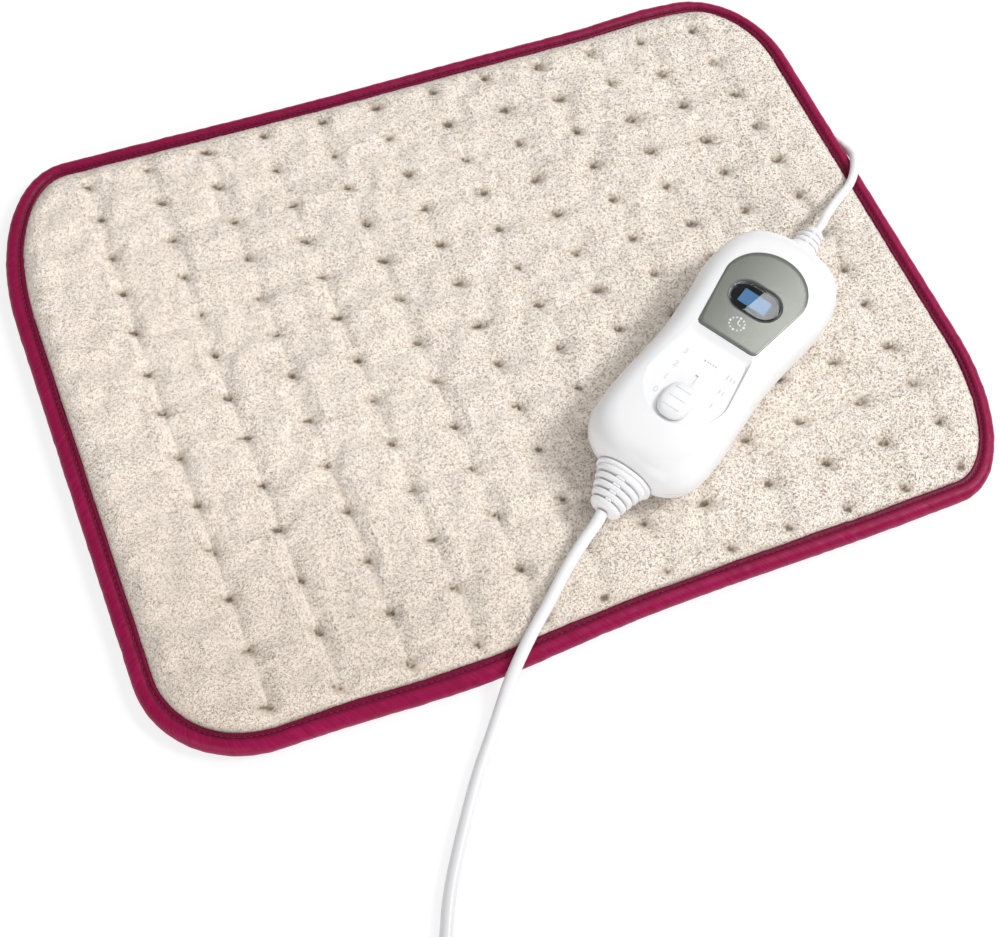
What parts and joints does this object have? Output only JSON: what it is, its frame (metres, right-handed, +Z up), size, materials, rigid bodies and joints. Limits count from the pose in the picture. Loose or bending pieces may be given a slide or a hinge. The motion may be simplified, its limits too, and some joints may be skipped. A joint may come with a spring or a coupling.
{
  "type": "electric heating pad",
  "caption": "Flat tufted plush heating pad with a bound edge, wired to a slide controller with a display, and a mains lead with a plug.",
  "frame": {"origin": "middle of the pad's underside, on the surface that the pad lies on", "axes": "+X along the pad's long side, +Y along its short side, +Z up through the plush face"},
  "size_m": [0.4052, 0.5363, 0.0416],
  "materials": {
    "plush": "cream micro-plush with short looped pile",
    "binding": "burgundy woven binding tape, stitched",
    "backing_cloth": "cream brushed cloth",
    "felt": "white needle felt",
    "wire_insulation": "silicone rubber insulation",
    "housing": "glossy white moulding",
    "inner_plastic": "plain white moulding",
    "black_plastic": "black moulding",
    "faceplate": "satin silver-grey lacquer",
    "window": "black glossy window",
    "display": "pale blue display",
    "board": "green solder mask",
    "terminal": "green moulding",
    "capacitor": "yellow box",
    "fuse": "glass fuse with nickel caps",
    "varistor": "blue lacquer",
    "screws": "zinc plated",
    "cord_sheath": "soft white cord sheath",
    "tie": "white plastic tie",
    "plug": "white moulded plug",
    "pins": "nickel plated",
    "pin_sleeves": "insulating sleeve"
  },
  "bodies": {
    "root": {"bottom_cover": "backing_cloth", "lower_felt": "felt", "heating_wire": "wire_insulation", "upper_felt": "felt", "plush_top_cover": "plush", "edge_binding": "binding", "thermal_cutout_left": "black_plastic", "thermal_cutout_right": "black_plastic", "wire_splice_outer": "wire_insulation", "wire_splice_inner": "wire_insulation", "pad_gland": "cord_sheath", "lower_housing": "housing", "upper_housing": "housing", "faceplate": "faceplate", "display_window": "window", "display_holder": "inner_plastic", "display_panel": "display", "slide_switch": "black_plastic", "circuit_board": "board", "mains_terminal": "terminal", "pad_terminal": "terminal", "suppression_capacitor": "capacitor", "triac": "black_plastic", "fuse": "fuse", "varistor": "varistor", "control_chip": "black_plastic", "housing_screw_1": "screws", "housing_screw_2": "screws", "housing_screw_3": "screws", "housing_screw_4": "screws", "mains_strain_relief": "cord_sheath", "pad_strain_relief": "cord_sheath", "pad_cord": "cord_sheath", "mains_cord": "cord_sheath", "mains_cord_coil": "cord_sheath", "mains_cord_tail": "cord_sheath", "cord_tie": "tie", "plug_strain_relief": "cord_sheath", "plug_body": "plug", "plug_pin_left": "pins", "plug_pin_right": "pins", "plug_pin_sleeve_left": "pin_sleeves", "plug_pin_sleeve_right": "pin_sleeves"},
    "slider": {"slider_knob": "housing", "slider_carriage": "inner_plastic", "switch_actuator": "black_plastic"}
  },
  "joints": [
    {"name": "level_slide", "type": "slide", "parent": "root", "child": "slider", "axis": [0.8508, 0.5255, 0], "range_m": [0, 0.0205]}
  ]
}
